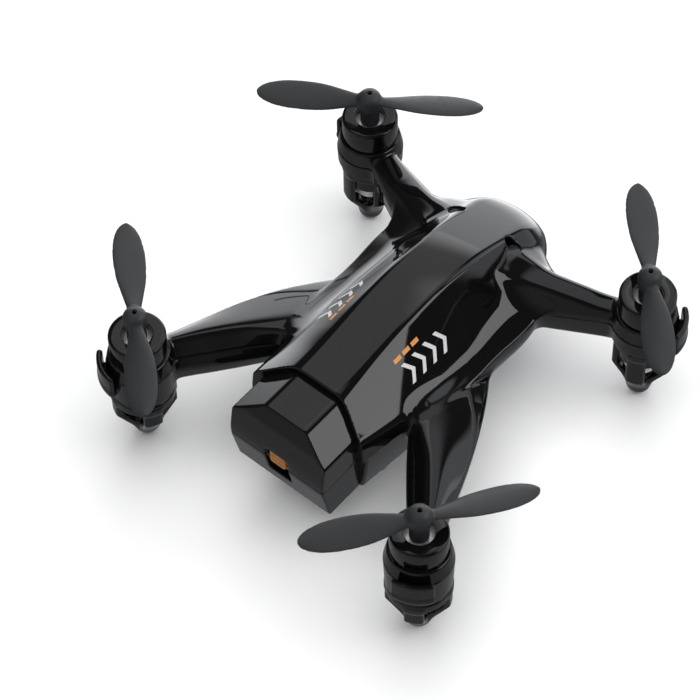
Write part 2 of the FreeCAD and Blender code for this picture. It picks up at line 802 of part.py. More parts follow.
def battery():
    """The flat lithium cell on its foam pad, with its two leads to the board."""
    middle = (size("battery_front") + size("battery_rear")) / 2
    cell = block("cell", "2 * sizes.battery_half_width",
                 "sizes.battery_front - sizes.battery_rear", "sizes.battery_thickness",
                 0.0, middle, size("battery_bottom"))
    doc.recompute([cell])
    rounded = doc.addObject("Part::Fillet", "cell_rounded")
    rounded.Base = cell
    long_edges = [
        (number, 1.2, 1.2) for number, edge in enumerate(cell.Shape.Edges, start=1)
        if abs(edge.tangentAt(edge.FirstParameter).y) > 0.9
    ]
    rounded.Edges = long_edges
    keep(rounded, "battery_cell")
    keep(block("pad", "10", "18", "sizes.battery_bottom - sizes.belly_height - sizes.wall",
               0.0, middle, size("belly_height") + size("wall")), "battery_pad")
    leads = []
    for number, x in enumerate((-1.6, 1.6)):
        route = [
            (x, size("battery_front"), 13.6), (x, size("battery_front") + 3.0, 13.6),
            (x, size("battery_front") + 3.0, size("board_bottom")),
        ]
        leads.append(solid("battery_lead_%d" % number, bent_lead(route, 1.2, 0.4)))
    keep(group("cell_leads", leads), "battery_leads")


def power_switch():
    """The slide switch behind the slot, its sliding knob and its three soldered pins."""
    front, depth = size("switch_front"), size("switch_depth")
    centre, stem = size("knob_centre_height"), size("knob_stem")
    housing = block("switch_housing", "2 * sizes.switch_half_width", "sizes.switch_depth",
                    "sizes.switch_top - sizes.switch_bottom", 0.0, front + depth / 2,
                    size("switch_bottom"))
    track = block("switch_track", "sizes.knob_stem + 0.2", "1.8",
                  "sizes.knob_stem + sizes.knob_travel + 0.4", 0.0, front + 0.6,
                  centre - stem / 2 - size("knob_travel") - 0.2)
    keep(cut("switch_case", housing, track), "power_switch_body")
    pad = block("knob_pad", "sizes.knob_width", "sizes.knob_depth", "sizes.knob_height", 0.0,
                size("knob_front") + size("knob_depth") / 2, centre - size("knob_height") / 2)
    reach = front + 1.2 - size("knob_front") - size("knob_depth")
    neck = block("knob_neck", "sizes.knob_stem", str(reach + 0.2), "sizes.knob_stem", 0.0,
                 size("knob_front") + size("knob_depth") + reach / 2 - 0.1, centre - stem / 2)
    keep(fuse("knob", [pad, neck]), "power_switch_knob")
    pins = [
        block("pin_%d" % number, "0.5", "2.8", "0.3", 2.5 * (number - 1), front + depth + 1.4,
              size("board_bottom") - 0.3)
        for number in range(3)
    ]
    keep(group("pins", pins), "power_switch_pins")


def charge_socket():
    """The two-pole charging socket that faces down through the rear tray."""
    x, y = size("socket_x"), size("socket_y")
    bottom = size("belly_height") + 0.2
    case = block("socket_case", "sizes.socket_length", "sizes.socket_width",
                 "sizes.board_bottom - sizes.belly_height - 0.2", x, y, bottom)
    mouth = block("socket_hollow", "sizes.socket_length - 0.8", "sizes.socket_width - 0.8",
                  "3", x, y, bottom)
    poles = [
        block("pole_%d" % number, "0.4", "0.4", "2.6", x - 0.625 + 1.25 * number, y, bottom + 0.4)
        for number in range(2)
    ]
    keep(fuse("socket_poled", [cut("socket_shell", case, mouth)] + poles), "charge_socket")


def case_screws():
    screws = []
    for number, (x, y) in enumerate(screw_spots()):
        head = cylinder("screw_head_%d" % number, "sizes.screw_head_radius", "sizes.belly_height",
                        "sizes.screw_head_height", x, y)
        thread = cylinder("screw_thread_%d" % number, "sizes.screw_radius",
                          "sizes.belly_height + sizes.screw_head_height - 0.1",
                          "sizes.screw_length", x, y)
        cross = [
            block("cross_%d_%d" % (number, arm), "1.6" if arm else "0.35",
                  "0.35" if arm else "1.6", "0.7", x, y, size("belly_height") - 0.3)
            for arm in (0, 1)
        ]
        screws.append(cut("screw_%d" % number, fuse("screw_blank_%d" % number, [head, thread]),
                          fuse("screw_cross_%d" % number, cross)))
    keep(group("screws", screws), "case_screws")


upper_shell()
lower_shell()
rear_module()
for corner, side, end, sense, heading in CORNERS:
    x, y, turn = corner_frame(side, end)
    motor_cap(corner, x, y)
    motor_pod(corner, x, y, turn)
    motor(corner, x, y, turn)
    propeller(corner, x, y, sense, heading)
    motor_leads(corner, side, end)
board()
board_parts()
battery()
power_switch()
charge_socket()
case_screws()
doc.recompute()

for thing in doc.Objects:
    troubled = [state for state in thing.State if state in ("Invalid", "Error")]
    if troubled:
        raise RuntimeError("%s did not compute: %s" % (thing.Label, troubled))

os.makedirs("parts", exist_ok=True)
for part in subparts:
    if part.Shape.isNull() or not part.Shape.isValid():
        raise RuntimeError("%s has no valid shape" % part.Label)
    part.Shape.exportStep(os.path.join("parts", part.Label + ".step"))
print(len(subparts), "sub-parts written")
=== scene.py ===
import math

import bmesh
import bpy
import numpy as np
from mathutils import Matrix, Vector


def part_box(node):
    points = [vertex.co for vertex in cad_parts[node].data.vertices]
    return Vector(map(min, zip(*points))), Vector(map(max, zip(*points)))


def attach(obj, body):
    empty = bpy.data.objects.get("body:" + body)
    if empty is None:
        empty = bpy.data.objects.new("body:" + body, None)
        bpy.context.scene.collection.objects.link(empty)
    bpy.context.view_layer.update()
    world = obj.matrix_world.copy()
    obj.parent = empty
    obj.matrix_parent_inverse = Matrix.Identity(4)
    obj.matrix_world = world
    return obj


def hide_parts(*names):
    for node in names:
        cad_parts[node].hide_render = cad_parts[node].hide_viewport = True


# Mini palm drone. The moulded pieces are described as distance-like fields in millimetres,
# with the frame's axes: +X right, +Y nose, +Z up. Each field is negative inside its piece.

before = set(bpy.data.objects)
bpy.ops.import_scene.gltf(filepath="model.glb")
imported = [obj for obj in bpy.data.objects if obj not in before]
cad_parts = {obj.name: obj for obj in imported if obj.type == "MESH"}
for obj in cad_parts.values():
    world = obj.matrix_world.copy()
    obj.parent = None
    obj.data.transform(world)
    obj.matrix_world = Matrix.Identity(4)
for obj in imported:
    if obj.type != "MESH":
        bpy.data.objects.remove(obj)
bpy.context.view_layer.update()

MM = 0.001
CORNERS = ("front_left", "front_right", "rear_right", "rear_left")


def low_high(node):
    """A CAD node's lowest and highest corners, in millimetres."""
    low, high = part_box(node)
    return np.array(low) / MM, np.array(high) / MM


# ---------------------------------------------------------------- sizes read from the frame

SPLIT = low_high("upper_shell")[0][2]
ROOF_TOP = low_high("upper_shell")[1][2]
BELLY_LOW = low_high("lower_shell")[0][2]
MODULE_LOW, MODULE_HIGH = low_high("rear_module_cover")
TRAY_LOW, TRAY_HIGH = low_high("rear_module_tray")
CAP_LOW, CAP_HIGH = low_high("motor_cap_front_right")
POD_TOP = low_high("motor_pod_front_right")[1][2]
ROTOR_LOW, ROTOR_HIGH = low_high("propeller_front_right")
KNOB_LOW, KNOB_HIGH = low_high("power_switch_knob")
LENS_LOW, LENS_HIGH = low_high("eye_lenses")


def centre_of(node):
    low, high = low_high(node)
    return (low + high) / 2


MOTOR = {corner: centre_of("motor_can_" + corner)[:2] for corner in CORNERS}
MOTOR_X, MOTOR_Y = MOTOR["front_right"]
CAP_RADIUS = (CAP_HIGH[0] - CAP_LOW[0]) / 2

# ---------------------------------------------------------------- fields


def blend_min(first, second, radius):
    """The union of two fields with a fillet."""
    share = np.clip(0.5 + 0.5 * (second - first) / radius, 0, 1)
    return second + (first - second) * share - radius * share * (1 - share)


def blend_max(first, second, radius):
    """The intersection of two fields with a rounded edge."""
    return -blend_min(-first, -second, radius)


def curve_through(points):
    """A smooth function through (position, value) points, level beyond its ends."""
    spots = np.array(points, float)
    slopes = np.gradient(spots[:, 1], spots[:, 0])

    def value(at):
        at = np.clip(at, spots[0, 0], spots[-1, 0])
        left = np.clip(np.searchsorted(spots[:, 0], at) - 1, 0, len(spots) - 2)
        gap = spots[left + 1, 0] - spots[left, 0]
        t = (at - spots[left, 0]) / gap
        start, end = spots[left, 1], spots[left + 1, 1]
        rise, fall = slopes[left] * gap, slopes[left + 1] * gap
        return (
            start * (2 * t**3 - 3 * t**2 + 1) + rise * (t**3 - 2 * t**2 + t)
            + end * (3 * t**2 - 2 * t**3) + fall * (t**3 - t**2)
        )

    return value


def beyond(across, up, first, second):
    """How far a point of a section lies to the left of the line from first to second."""
    run, rise = second[0] - first[0], second[1] - first[1]
    return ((up - first[1]) * run - (across - first[0]) * rise) / np.hypot(run, rise)


def ease(value, low, high):
    """0 below low, 1 above high, and a smooth step between them."""
    t = np.clip((value - low) / (high - low), 0, 1)
    return t * t * (3 - 2 * t)


def turned_to(x, y, degrees):
    """Coordinates along and across a direction."""
    c, s = math.cos(math.radians(degrees)), math.sin(math.radians(degrees))
    return x * c + y * s, y * c - x * s


# ---------------------------------------------------------------- surfaces from fields

CELL_CORNERS = np.array([(i, j, k) for i in (0, 1) for j in (0, 1) for k in (0, 1)])
CELL_EDGES = [
    (a, b) for a in range(8) for b in range(a + 1, 8)
    if abs(CELL_CORNERS[a] - CELL_CORNERS[b]).sum() == 1
]


def gradient(field, points):
    """The field's slope at each point, by central differences."""
    reach = 0.02
    slopes = np.empty_like(points)
    for axis in range(3):
        shift = np.zeros(3)
        shift[axis] = reach
        ahead, behind = (points + shift).T, (points - shift).T
        slopes[:, axis] = (field(*ahead) - field(*behind)) / (2 * reach)
    return slopes


def surface_of(field, low, high, step):
    """The field's zero surface inside a box, as even quads: points, faces and normals."""
    axes = [np.arange(low[n], high[n] + step, step) for n in range(3)]
    grid = field(axes[0][:, None, None], axes[1][None, :, None], axes[2][None, None, :])
    grid = np.array(np.broadcast_to(grid, [len(axis) for axis in axes]))
    inside = grid < 0
    cells = [slice(0, -1), slice(1, None)]
    held = sum(inside[tuple(cells[c] for c in corner)].astype(np.int8) for corner in CELL_CORNERS)
    spot = np.argwhere((held > 0) & (held < 8))
    number = np.full(held.shape, -1, np.int64)
    number[tuple(spot.T)] = np.arange(len(spot))

    values = np.stack([grid[tuple((spot + corner).T)] for corner in CELL_CORNERS], axis=1)
    total, count = np.zeros((len(spot), 3)), np.zeros((len(spot), 1))
    for a, b in CELL_EDGES:
        crosses = (values[:, a] < 0) != (values[:, b] < 0)
        share = values[crosses, a] / (values[crosses, a] - values[crosses, b])
        total[crosses] += CELL_CORNERS[a] + (CELL_CORNERS[b] - CELL_CORNERS[a]) * share[:, None]
        count[crosses] += 1
    points = np.array([axis[0] for axis in axes]) + (spot + total / count) * step

    faces = []
    for axis in range(3):
        other = [(axis + 1) % 3, (axis + 2) % 3]
        first = [slice(None)] * 3
        second = [slice(None)] * 3
        first[axis], second[axis] = slice(0, -1), slice(1, None)
        changes = inside[tuple(first)] != inside[tuple(second)]
        edges = np.argwhere(changes)
        edges = edges[(edges[:, other[0]] > 0) & (edges[:, other[1]] > 0)]
        edges = edges[(edges[:, other[0]] < held.shape[other[0]])
                      & (edges[:, other[1]] < held.shape[other[1]])]
        quad = []
        for back_first, back_second in ((1, 1), (0, 1), (0, 0), (1, 0)):
            cell = edges.copy()
            cell[:, other[0]] -= back_first
            cell[:, other[1]] -= back_second
            quad.append(number[tuple(cell.T)])
        quad = np.stack(quad, axis=1)
        outwards = inside[tuple(edges.T)]
        quad[~outwards] = quad[~outwards][:, ::-1]
        faces.append(quad)
    faces = np.concatenate(faces)
    faces = faces[(faces >= 0).all(axis=1)]

    for turn in range(4):
        if turn == 2:
            points = evened(points, faces)
        slopes = gradient(field, points)
        steep = np.maximum((slopes**2).sum(axis=1), 0.05)
        move = (field(*points.T) / steep)[:, None] * slopes
        length = np.linalg.norm(move, axis=1)[:, None]
        points = points - move * np.minimum(1, 0.6 * step / np.maximum(length, 1e-9))
    normals = gradient(field, points)
    normals /= np.maximum(np.linalg.norm(normals, axis=1)[:, None], 1e-9)
    return points, faces, normals


def evened(points, faces):
    """Each point moved halfway to the middle of its neighbours along the faces' edges."""
    total, count = np.zeros_like(points), np.zeros(len(points))
    for side in range(4):
        here, there = faces[:, side], faces[:, (side + 1) % 4]
        for axis in range(3):
            total[:, axis] += np.bincount(here, points[there, axis], len(points))
            total[:, axis] += np.bincount(there, points[here, axis], len(points))
        for end in (here, there):
            count += np.bincount(end, minlength=len(points))
    return points + 0.5 * (total / np.maximum(count, 1)[:, None] - points)


def mesh_object(name, points, faces, normals=None, material=None):
    """A smooth-shaded object from points in millimetres."""
    mesh = bpy.data.meshes.new(name)
    if isinstance(faces, np.ndarray):
        faces = faces.tolist()
    mesh.from_pydata((np.asarray(points) * MM).tolist(), [], faces)
    mesh.validate()
    mesh.shade_smooth()
    if normals is not None and len(mesh.vertices) == len(points):
        mesh.normals_split_custom_set_from_vertices(np.asarray(normals).tolist())
    thing = bpy.data.objects.new(name, mesh)
    bpy.context.scene.collection.objects.link(thing)
    if material:
        mesh.materials.append(material)
    return thing


def sharpened(thing, degrees=30):
    """Flat facets stay crisp: edges over an angle are marked sharp."""
    mesh = thing.data
    work = bmesh.new()
    work.from_mesh(mesh)
    bmesh.ops.recalc_face_normals(work, faces=work.faces)
    for edge in work.edges:
        if len(edge.link_faces) == 2 and edge.calc_face_angle(0) > math.radians(degrees):
            edge.smooth = False
    work.to_mesh(mesh)
    work.free()


def moulded(name, field, low, high, step, material):
    points, faces, normals = surface_of(field, low, high, step)
    return mesh_object(name, points, faces, normals, material)


# ---------------------------------------------------------------- materials


def new_material(name):
    """A node material, its shader, a helper that adds nodes, its coordinates and its tree."""
    material = bpy.data.materials.new(name)
    material.use_nodes = True
    tree = material.node_tree
    tree.nodes.clear()
    output = tree.nodes.new("ShaderNodeOutputMaterial")
    shader = tree.nodes.new("ShaderNodeBsdfPrincipled")
    tree.links.new(shader.outputs["BSDF"], output.inputs["Surface"])
    coords = tree.nodes.new("ShaderNodeTexCoord")

    def add(kind, inputs=None, **settings):
        node = tree.nodes.new("ShaderNode" + kind)
        for key, value in settings.items():
            setattr(node, key, value)
        for key, value in (inputs or {}).items():
            if isinstance(value, bpy.types.NodeSocket):
                tree.links.new(value, node.inputs[key])
            else:
                node.inputs[key].default_value = value
        return node

    return material, shader, add, coords.outputs["Object"], tree


def noise(add, place, per_mm, detail=3.0, roughness=0.5):
    """Noise with about per_mm features in each millimetre."""
    return add("TexNoise", {"Vector": place, "Scale": per_mm / MM, "Detail": detail,
                            "Roughness": roughness}).outputs["Fac"]


def ramp(add, value, low, high, low_out, high_out):
    node = add("MapRange", {"Value": value, "From Min": low, "From Max": high,
                            "To Min": low_out, "To Max": high_out})
    return node.outputs["Result"]


def colours(add, factor, first, second):
    node = add("Mix", {"Factor": factor}, data_type="RGBA")
    node.inputs["A"].default_value = (*first, 1)
    node.inputs["B"].default_value = (*second, 1)
    return node.outputs["Result"]


def bumped(add, tree, shader, height, strength, depth_mm):
    bump = add("Bump", {"Height": height, "Strength": strength, "Distance": depth_mm * MM})
    tree.links.new(bump.outputs["Normal"], shader.inputs["Normal"])


def plastic(name, dark, light, rough_low, rough_high, grain_mm, grain_depth, coat=0.0, level=0.5):
    """Moulded plastic: slow colour drift, handled patches in the gloss, and a fine grain."""
    material, shader, add, place, tree = new_material(name)
    drift = noise(add, place, 0.12, 4.0)
    wear = noise(add, place, 0.9, 5.0, 0.6)
    tree.links.new(colours(add, drift, dark, light), shader.inputs["Base Color"])
    tree.links.new(ramp(add, wear, 0.35, 0.75, rough_low, rough_high), shader.inputs["Roughness"])
    shader.inputs["Specular IOR Level"].default_value = level
    shader.inputs["Coat Weight"].default_value = coat
    shader.inputs["Coat Roughness"].default_value = 0.03
    grain = noise(add, place, grain_mm, 2.0, 0.5)
    bumped(add, tree, shader, grain, 0.25, grain_depth)
    return material


def metal(name, dark, light, rough_low, rough_high, stretch=(1, 1, 12), metallic=1.0):
    """Drawn metal: brush lines round or along the piece, and slight tarnish."""
    material, shader, add, place, tree = new_material(name)
    lines = add("Mapping", {"Vector": place, "Scale": stretch}).outputs["Vector"]
    brushed = noise(add, lines, 1.6, 4.0, 0.6)
    tarnish = noise(add, place, 0.5, 3.0)
    tree.links.new(colours(add, tarnish, dark, light), shader.inputs["Base Color"])
    tree.links.new(ramp(add, brushed, 0.3, 0.7, rough_low, rough_high), shader.inputs["Roughness"])
    shader.inputs["Metallic"].default_value = metallic
    bumped(add, tree, shader, brushed, 0.2, 0.01)
    return material


def laminate(name):
    """Solder mask with lighter traces and gold pads."""
    material, shader, add, place, tree = new_material(name)
    cells = add("TexVoronoi", {"Vector": place, "Scale": 0.5 / MM, "Randomness": 0.6},
                feature="DISTANCE_TO_EDGE")
    traces = ramp(add, cells.outputs["Distance"], 0.03, 0.06, 1.0, 0.0)
    pads = add("TexVoronoi", {"Vector": place, "Scale": 0.9 / MM, "Randomness": 0.35})
    spots = ramp(add, pads.outputs["Distance"], 0.16, 0.2, 1.0, 0.0)
    green = colours(add, traces, (0.006, 0.035, 0.018), (0.015, 0.085, 0.04))
    gold = add("Mix", {"Factor": spots, "A": green}, data_type="RGBA")
    gold.inputs["B"].default_value = (0.55, 0.38, 0.12, 1)
    tree.links.new(gold.outputs["Result"], shader.inputs["Base Color"])
    tree.links.new(ramp(add, spots, 0, 1, 0.35, 0.25), shader.inputs["Roughness"])
    bumped(add, tree, shader, traces, 0.4, 0.03)
    return material


def foil(name):
    """The crinkled aluminised pouch of a lithium cell."""
    material, shader, add, place, tree = new_material(name)
    folds = noise(add, place, 0.35, 6.0, 0.65)
    tree.links.new(colours(add, folds, (0.45, 0.46, 0.48), (0.62, 0.63, 0.65)),
                   shader.inputs["Base Color"])
    tree.links.new(ramp(add, folds, 0.3, 0.7, 0.24, 0.42), shader.inputs["Roughness"])
    shader.inputs["Metallic"].default_value = 0.9
    bumped(add, tree, shader, folds, 0.6, 0.2)
    return material


def lens(name):
    """Transmissive lamp resin with a faint milkiness, its base colour darkened to a smoky grey as
    painted shade so the eye wells read dark.
    """
    material, shader, add, place, tree = new_material(name)
    haze = noise(add, place, 0.8, 3.0)
    # Painted shade: the dark grey base colour tints the lens so the well behind it reads as a dark
    # hole.
    tree.links.new(colours(add, haze, (0.10, 0.11, 0.13), (0.16, 0.17, 0.19)),
                   shader.inputs["Base Color"])
    tree.links.new(ramp(add, haze, 0.3, 0.7, 0.05, 0.14), shader.inputs["Roughness"])
    shader.inputs["Transmission Weight"].default_value = 0.85
    shader.inputs["IOR"].default_value = 1.5
    return material


GLOSS = plastic("gloss_shell", (0.0022, 0.0022, 0.0026), (0.0036, 0.0035, 0.0038),
                0.03, 0.06, 9.0, 0.003, level=0.55)
SATIN = plastic("satin_propeller", (0.016, 0.017, 0.018), (0.024, 0.025, 0.028),
                0.42, 0.55, 14.0, 0.02, level=0.45)
# The knob's amber base colour is a painted reflection: a warm cast of reflected light laid on as
# its colour.
KNOB_WARM_REFLECTION = plastic("knob_painted_warm_reflection", (0.30, 0.115, 0.022), (0.42, 0.17, 0.035),
                0.35, 0.5, 10.0, 0.015)
BELL = plastic("bell_plastic", (0.55, 0.53, 0.48), (0.7, 0.68, 0.62), 0.3, 0.45, 8.0, 0.01)
INSULATION = plastic("lead_insulation", (0.05, 0.018, 0.01), (0.09, 0.032, 0.018),
                     0.3, 0.45, 6.0, 0.01)
CELL_INSULATION = plastic("cell_lead_insulation", (0.02, 0.02, 0.022), (0.05, 0.05, 0.055),
                          0.3, 0.45, 6.0, 0.01)
RESIN = plastic("chip_resin", (0.012, 0.012, 0.013), (0.022, 0.022, 0.024),
                0.45, 0.6, 12.0, 0.02)
FOAM = plastic("pad_foam", (0.03, 0.03, 0.032), (0.07, 0.07, 0.075), 0.85, 0.95, 3.0, 0.12)
SOCKET = plastic("socket_nylon", (0.5, 0.48, 0.42), (0.62, 0.6, 0.54), 0.4, 0.55, 9.0, 0.02)
LAMP = plastic("lamp_resin", (0.75, 0.72, 0.5), (0.85, 0.83, 0.66), 0.15, 0.3, 6.0, 0.01)
STEEL = metal("drawn_steel", (0.6, 0.6, 0.62), (0.78, 0.78, 0.8), 0.2, 0.34, (6, 6, 0.6), 0.4)
BRIGHT = metal("bright_steel", (0.6, 0.6, 0.62), (0.78, 0.78, 0.8), 0.12, 0.24, (1, 1, 4))
CASE = metal("switch_case", (0.5, 0.49, 0.46), (0.62, 0.61, 0.58), 0.25, 0.4, (3, 1, 1))
CRYSTAL = metal("crystal_can", (0.62, 0.62, 0.6), (0.75, 0.75, 0.72), 0.2, 0.3)
BOARD = laminate("board_laminate")
FOIL = foil("cell_foil")
LENS_PAINTED_DARK = lens("lens_plastic")
WHITE_PRINT = plastic("print_white", (0.50, 0.50, 0.51), (0.60, 0.60, 0.61),
                      0.3, 0.42, 10.0, 0.004)
ORANGE_PRINT = plastic("print_orange", (0.52, 0.20, 0.04), (0.62, 0.26, 0.06),
                       0.3, 0.42, 10.0, 0.004)

NODE_MATERIALS = {
    "motor_can_": STEEL, "motor_end_bell_": BELL, "motor_shaft_": BRIGHT,
    "motor_leads_": INSULATION, "flight_board": BOARD, "processor_chip": RESIN,
    "radio_chip": RESIN, "gyro_chip": RESIN, "crystal": CRYSTAL, "motor_drivers": RESIN,
    "eye_lamps": LAMP, "eye_lenses": LENS_PAINTED_DARK, "battery_cell": FOIL, "battery_pad": FOAM,
    "battery_leads": CELL_INSULATION, "power_switch_body": CASE, "power_switch_pins": BRIGHT,
    "charge_socket": SOCKET, "case_screws": BRIGHT,
}
for node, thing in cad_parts.items():
    for prefix, material in NODE_MATERIALS.items():
        if node.startswith(prefix):
            thing.data.materials.clear()
            thing.data.materials.append(material)

# ---------------------------------------------------------------- the shells' shape

RIDGE = 4.6
NOSE_TIP = 33.1
WALL = 0.9
SEAM_HALF = 0.05
ARM_CROWN = 0.03
UPPER_COLLAR_RADIUS, LOWER_COLLAR_RADIUS = 5.6, 5.62
COLLAR_BORE = 4.0
EYE_RADIUS = 1.25
CLIP_RADIUS, CLIP_HEIGHT = 6.5, 18.6
CLIP_HALF_THICK, CLIP_HALF_TALL = 0.48, 2.2
CLIP_HALF_ANGLE, CLIP_MM_PER_DEGREE = 31.0, 0.11
CLIP_LEAN = {1: 24.0, -1: -60.0}
BELLY_REAR = -20.25
roof_height = curve_through([
    (-22, ROOF_TOP - 2.35), (-14, ROOF_TOP - 1.85), (-9.3, ROOF_TOP - 1.15),
    (-4.6, ROOF_TOP - 0.5), (0.3, ROOF_TOP - 0.12), (5.3, ROOF_TOP), (10.7, ROOF_TOP - 0.5),
    (16.2, ROOF_TOP - 1.5), (22, ROOF_TOP - 3.2), (27, ROOF_TOP - 5.1), (34, ROOF_TOP - 8.5),
])
shoulder_width = curve_through([
    (-22, 11.2), (-16, 12.0), (-11, 12.6), (-4, 12.5), (4, 12.0), (10, 11.8), (16, 11.8),
    (22, 10.8), (27, 9.2), (34, 7.0),
])
shoulder_height = curve_through([
    (-22, 24.2), (-16, 22.6), (-11, 21.4), (-4, 20.8), (4, 20.6), (10, 20.4), (16, 20.4),
    (22, 21.2), (27, 21.4), (34, 20.5),
])
belly_width = curve_through([
    (-22, 11.2), (-11, 12.4), (-4, 13.2), (4, 15.1), (8, 15.25), (18, 15.25), (22, 14.0),
    (27, 10.0), (34, 7.0),
])


class Arm:
    """An arm pair: its direction outwards, and its shape along the way in from the motor.

    The heights in top, and left_foot, where the left slope ends, are measured up from the seam.
    right_edge is the rounding of the right fold. collar_low is where the lower collar ends.
    """

    def __init__(self, end, lean, left_foot, right_edge, collar_low, half, top, folds):
        self.end, self.lean = end, lean
        self.left_foot, self.right_edge, self.collar_low = left_foot, right_edge, collar_low
        self.half = curve_through(half)
        self.top = curve_through([(inward, SPLIT + rise) for inward, rise in top])
        self.folds = [curve_through(fold) for fold in folds]

    def along_across(self, a, y):
        return turned_to(a - MOTOR_X, y - self.end * MOTOR_Y, self.lean)

    def roof(self, inward, across, z):
        """A flat top between two folds, with a slope outside each of them."""
        half, top = self.half(inward), self.top(inward)
        first, second = (fold(inward) for fold in self.folds)
        left = beyond(-across, z, (-first, top), (half + 0.2, SPLIT + self.left_foot))
        right = beyond(across, z, (second, top), (half + 0.1, SPLIT + 0.1))
        crown = z - top + ARM_CROWN * (across - (first + second) / 2) ** 2
        shape = blend_max(crown, left, 0.7)
        return blend_max(shape, right, self.right_edge)


FRONT_ARM = Arm(
    end=1, lean=22.0, left_foot=0.2, right_edge=0.7, collar_low=15.9,
    half=[(0, 2.6), (6, 2.7), (10, 3.2), (16, 4.0), (22, 4.7), (40, 6.4)],
    top=[(0, 2.1), (7, 2.1), (12, 3.1), (18, 4.3), (30, 5.4)],
    folds=[[(0, -1.7), (30, -2.2)], [(0, 1.7), (30, 2.2)]],
)
REAR_ARM = Arm(
    end=-1, lean=-60.0, left_foot=-1.8, right_edge=1.4, collar_low=12.85,
    half=[
        (0, 3.1), (6, 3.3), (12, 4.3), (18, 5.2), (24, 5.8), (28, 6.0), (33, 6.05), (38, 5.8),
        (44, 5.2),
    ],
    top=[(0, 2.2), (18, 2.3), (24, 2.1), (30, 1.7), (38, 0.9)],
    folds=[
        [(0, 0.0), (6, 0.0), (12, -0.8), (18, -1.9), (22.5, -3.8), (30, -6.0)],
        [(0, 1.8), (6, 1.8), (12, 1.6), (18, 0.7), (24, -0.3), (30, -1.4), (36, -3.0)],
    ],
)
ARM_LOW = 13.8


def upper_arm(arm, a, y, z):
    """The part of an arm above the seam."""
    along, across = arm.along_across(a, y)
    shape = blend_max(arm.roof(-along, across, z), np.abs(across) - arm.half(-along), 0.5)
    return np.maximum(shape, along - 0.1)


def lower_arm(arm, a, y, z):
    """The part of an arm below the seam, rounded like the hull of a boat."""
    along, across = arm.along_across(a, y)
    half, side = arm.half(-along), np.abs(across)
    slope = beyond(side, z, (half, SPLIT - 2.5), (0.8 * half, ARM_LOW))
    shape = blend_max(side - half, slope, 1.2)
    if arm is REAR_ARM:
        shape = blend_max(shape, arm.roof(-along, across, z), 0.7)
    shape = blend_max(shape, ARM_LOW - z, 1.8)
    return np.maximum(shape, along - 0.1)


def canopy(a, y, z):
    """The roof: a flat strip, two sloping panels, low walls and a rounded nose."""
    roof, wide, low = roof_height(y), shoulder_width(y), shoulder_height(y)
    strip = z - roof + 0.006 * a**2
    panel = beyond(a, z, (RIDGE, roof), (wide, low))
    panel = panel + 0.012 * ((a - RIDGE) - (wide - RIDGE) / 2) ** 2
    shape = blend_max(strip, panel, 0.45)
    shape = blend_max(shape, a - wide - 0.08 * (low - z), 1.0)
    front = y + a**2 / 22 + 0.35 * (z - 22) - NOSE_TIP
    return blend_max(shape, front, 4.0)


def lip_line(a):
    """Where the canopy ends over the rear module."""
    return -18.7 - 3.0 * ease(a, RIDGE - 0.6, 12.5)


def belly(a, y, z):
    wide = belly_width(y)
    floor_half = wide - 1.2 - 2.6 * ease(y, -4, 12)
    side = a - wide
    slope = beyond(a, z, (wide, SPLIT - 3.4), (floor_half, BELLY_LOW))
    shape = blend_max(side, slope, 1.2)
    shape = blend_max(shape, BELLY_LOW - z, 1.0)
    front = y + a**2 / 22 + 0.3 * (SPLIT - z) - NOSE_TIP - 1.0
    shape = blend_max(shape, front, 3.0)
    return blend_max(shape, BELLY_REAR - y, 0.4)


def from_motor(a, y, end):
    return np.hypot(a - MOTOR_X, y - end * MOTOR_Y)


def eye_well(a, y, z):
    """A teardrop well that narrows towards the middle of the roof."""
    eye_x, eye_y = LENS_HIGH[0] - EYE_RADIUS, (LENS_LOW[1] + LENS_HIGH[1]) / 2
    tail = np.clip((eye_x + 0.2 - a) / 2.4, 0, 1)
    radius = EYE_RADIUS - 0.95 * tail
    reach = np.hypot(np.maximum(np.abs(a - eye_x + 0.6) - 0.6, 0), y - eye_y - 0.3 * tail)
    return np.maximum(reach - radius, LENS_LOW[2] - z)


def hollowed(shape, wall):
    return np.maximum(shape, -(shape + wall))


def fillet_along(arm, a, y):
    """The fillet's size where an arm meets the body.

    A front arm's is largest ahead of the arm, and small near the middle of the body.
    """
    if arm is REAR_ARM:
        return 2.5
    size = 3.0 + 3.0 * ease(arm.along_across(a, y)[1], -1, 6)
    return size * (0.08 + 0.92 * ease(a, 1.0, 11.0))


def waist_apron(a, y, z):
    """The slope between the arms, from under the shoulder out to the seam."""
    wide = belly_width(y)
    slope = beyond(a, z, (wide - 4.6, SPLIT + 2.0), (wide + 0.1, SPLIT + 0.15))
    return np.maximum(blend_max(a - wide, slope, 0.4), np.abs(y - 8.0) - 13.0)


def upper_outer(x, y, z):
    a = np.abs(x)
    shape = blend_max(canopy(a, y, z), lip_line(a) - y, 0.35)
    shape = blend_min(shape, waist_apron(a, y, z), 1.4)
    for arm in (FRONT_ARM, REAR_ARM):
        shape = blend_min(shape, upper_arm(arm, a, y, z), fillet_along(arm, a, y))
        radius = from_motor(a, y, arm.end)
        side = radius - UPPER_COLLAR_RADIUS + 0.2 * (z - SPLIT)
        collar = blend_max(side, z - CAP_LOW[2] + 0.1, 0.4)
        shape = blend_min(shape, collar, 0.7)
    return shape


def upper_shell(x, y, z):
    a = np.abs(x)
    shape = hollowed(upper_outer(x, y, z), WALL)
    for end in (1, -1):
        shape = np.maximum(shape, COLLAR_BORE - from_motor(a, y, end))
    shape = blend_max(shape, -eye_well(a, y, z), 0.25)
    return blend_max(shape, SPLIT + SEAM_HALF - z, 0.16)


